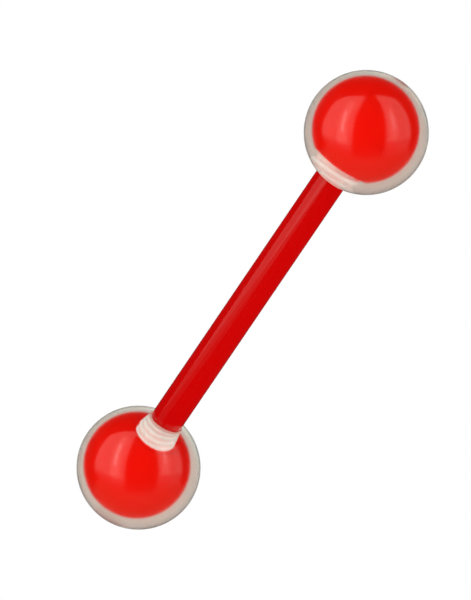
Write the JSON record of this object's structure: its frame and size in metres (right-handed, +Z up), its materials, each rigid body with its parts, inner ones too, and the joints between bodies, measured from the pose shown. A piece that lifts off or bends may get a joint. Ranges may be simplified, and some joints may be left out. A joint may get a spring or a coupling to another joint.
{
  "type": "tongue barbell",
  "caption": "Straight tongue barbell: a slim flexible bar with a threaded spigot at each end and clear screw-on balls with a solid coloured core.",
  "frame": {"origin": "on the surface it rests on, midway between the two balls and under the line that joins their centres", "axes": "+X along the bar towards the right ball, +Z up from the surface, +Y level and square to the bar, on the side towards which the balls are drilled off centre"},
  "size_m": [0.0274, 0.006, 0.006],
  "materials": {
    "bar_plastic": "smooth solid red flexible plastic",
    "clear_acrylic": "polished clear acrylic with a frosted tapped hole",
    "core_acrylic": "solid opaque red acrylic, cast inside the clear ball"
  },
  "bodies": {
    "bar": {"bar": "bar_plastic"},
    "left_ball": {"left_shell": "clear_acrylic", "left_core": "core_acrylic"},
    "right_ball": {"right_shell": "clear_acrylic", "right_core": "core_acrylic"}
  },
  "joints": [
    {"name": "left_ball_off", "type": "slide", "parent": "bar", "child": "left_ball", "axis": [-1, 0, 0], "range_m": [0, 0.018]},
    {"name": "right_ball_off", "type": "slide", "parent": "bar", "child": "right_ball", "axis": [1, 0, 0], "range_m": [0, 0.018]}
  ]
}
